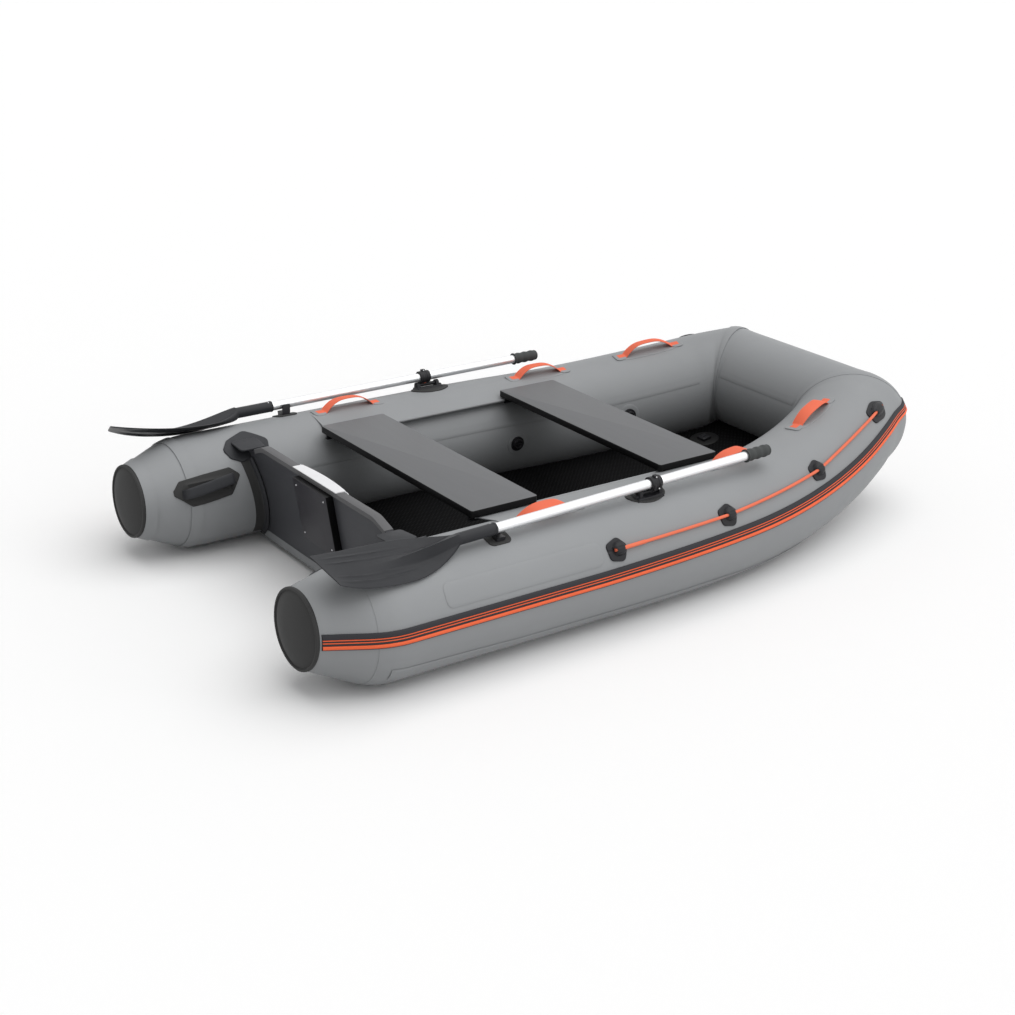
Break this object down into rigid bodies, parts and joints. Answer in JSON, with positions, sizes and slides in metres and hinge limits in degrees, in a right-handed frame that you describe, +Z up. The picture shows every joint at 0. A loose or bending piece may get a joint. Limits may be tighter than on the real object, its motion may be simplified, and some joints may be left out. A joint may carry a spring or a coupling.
{
  "type": "inflatable boat",
  "caption": "Inflatable rowing boat with a transom board, rub strake, air deck, sliding seat boards, webbing handles, grab lines and stowed oars.",
  "frame": {"origin": "on the ground under the middle of the boat's length and beam", "axes": "+X towards the bow, +Y to port, +Z up"},
  "size_m": [2.6564, 1.5582, 0.4958],
  "materials": {
    "hull_fabric": "satin",
    "deck_fabric": "matte",
    "track_fabric": "satin",
    "strake_rubber": "matte",
    "seat_board": "matte",
    "transom_board": "matte",
    "edge_trim": "matte",
    "motor_pad": "matte",
    "white_plate": "satin",
    "webbing": "matte",
    "rope": "matte",
    "shaft_aluminium": "satin",
    "blade_plastic": "satin",
    "grip_rubber": "matte",
    "holder_plastic": "satin",
    "valve_plastic": "satin",
    "moulded_rubber": "matte",
    "black_plastic": "satin"
  },
  "bodies": {
    "hull": {"air_deck": "deck_fabric", "bow_tube": "hull_fabric", "bow_valve_body": "valve_plastic", "deck_valve_patch": "valve_plastic", "hull_bottom": "hull_fabric", "motor_inner_plate": "white_plate", "motor_pad": "motor_pad", "port_aft_grab_handle": "webbing", "port_fairlead_1": "black_plastic", "port_fairlead_2": "black_plastic", "port_fairlead_3": "black_plastic", "port_fairlead_4": "black_plastic", "port_fore_grab_handle": "webbing", "port_grab_line": "rope", "port_mid_grab_handle": "webbing", "port_oar_clip": "black_plastic", "port_oarlock_base": "black_plastic", "port_seat_track": "track_fabric", "port_stern_cap": "moulded_rubber", "port_stern_handle": "moulded_rubber", "port_transom_channel": "moulded_rubber", "port_transom_holder": "holder_plastic", "port_tube": "hull_fabric", "port_valve_body": "valve_plastic", "rub_strake": "strake_rubber", "starboard_aft_grab_handle": "webbing", "starboard_fairlead_1": "black_plastic", "starboard_fairlead_2": "black_plastic", "starboard_fairlead_3": "black_plastic", "starboard_fairlead_4": "black_plastic", "starboard_fore_grab_handle": "webbing", "starboard_grab_line": "rope", "starboard_mid_grab_handle": "webbing", "starboard_oar_clip": "black_plastic", "starboard_oarlock_base": "black_plastic", "starboard_seat_track": "track_fabric", "starboard_stern_cap": "moulded_rubber", "starboard_stern_handle": "moulded_rubber", "starboard_transom_channel": "moulded_rubber", "starboard_transom_holder": "holder_plastic", "starboard_tube": "hull_fabric", "starboard_valve_body": "valve_plastic", "transom_board": "transom_board", "transom_edge_trim": "edge_trim"},
    "port_knuckle": {"port_oarlock_knuckle": "black_plastic"},
    "starboard_knuckle": {"starboard_oarlock_knuckle": "black_plastic"},
    "port_oar": {"port_oar_collar": "black_plastic", "port_oar_shaft": "shaft_aluminium", "port_oar_grip": "grip_rubber", "port_oar_blade": "blade_plastic"},
    "starboard_oar": {"starboard_oar_collar": "black_plastic", "starboard_oar_shaft": "shaft_aluminium", "starboard_oar_grip": "grip_rubber", "starboard_oar_blade": "blade_plastic"},
    "aft_bench": {"aft_seat": "seat_board"},
    "forward_bench": {"forward_seat": "seat_board"},
    "port_cap": {"port_valve_cap": "valve_plastic"},
    "starboard_cap": {"starboard_valve_cap": "valve_plastic"},
    "bow_cap": {"bow_valve_cap": "valve_plastic"},
    "deck_lid": {"deck_valve_lid": "valve_plastic"}
  },
  "joints": [
    {"name": "port_oar_dip", "type": "hinge", "parent": "hull", "child": "port_knuckle", "pos_m": [-0.10228, 0.62279, 0.3905], "axis": [0.9998, -0.0181, 0], "range_deg": [-14, 6]},
    {"name": "port_oar_swing", "type": "hinge", "parent": "port_knuckle", "child": "port_oar", "pos_m": [-0.11717, 0.62888, 0.41789], "axis": [0.0038, 0.2079, 0.9781], "range_deg": [-95, 0]},
    {"name": "starboard_oar_dip", "type": "hinge", "parent": "hull", "child": "starboard_knuckle", "pos_m": [-0.10228, -0.62279, 0.3905], "axis": [0.9998, 0.0181, 0], "range_deg": [-6, 14]},
    {"name": "starboard_oar_swing", "type": "hinge", "parent": "starboard_knuckle", "child": "starboard_oar", "pos_m": [-0.08718, -0.62834, 0.41789], "axis": [0.0038, -0.2079, 0.9781], "range_deg": [0, 95]},
    {"name": "aft_seat_slide", "type": "slide", "parent": "hull", "child": "aft_bench", "axis": [1, 0, 0], "range_m": [-0.015, 0.12]},
    {"name": "forward_seat_slide", "type": "slide", "parent": "hull", "child": "forward_bench", "axis": [1, 0, 0], "range_m": [-0.36, 0]},
    {"name": "port_valve_turn", "type": "hinge", "parent": "hull", "child": "port_cap", "pos_m": [0.13882, 0.38153, 0.1857], "axis": [-0.0641, -0.9978, -0.0175], "range_deg": [0, 90]},
    {"name": "starboard_valve_turn", "type": "hinge", "parent": "hull", "child": "starboard_cap", "pos_m": [0.13882, -0.38153, 0.1857], "axis": [-0.0641, 0.9978, -0.0175], "range_deg": [0, 90]},
    {"name": "bow_valve_turn", "type": "hinge", "parent": "hull", "child": "bow_cap", "pos_m": [0.6168, 0.3134, 0.2292], "axis": [-0.2442, -0.9673, 0.0693], "range_deg": [0, 90]},
    {"name": "deck_valve_turn", "type": "hinge", "parent": "hull", "child": "deck_lid", "pos_m": [0.87564, 0.165, 0.14087], "axis": [-0.205, 0, 0.9788], "range_deg": [0, 90]}
  ]
}
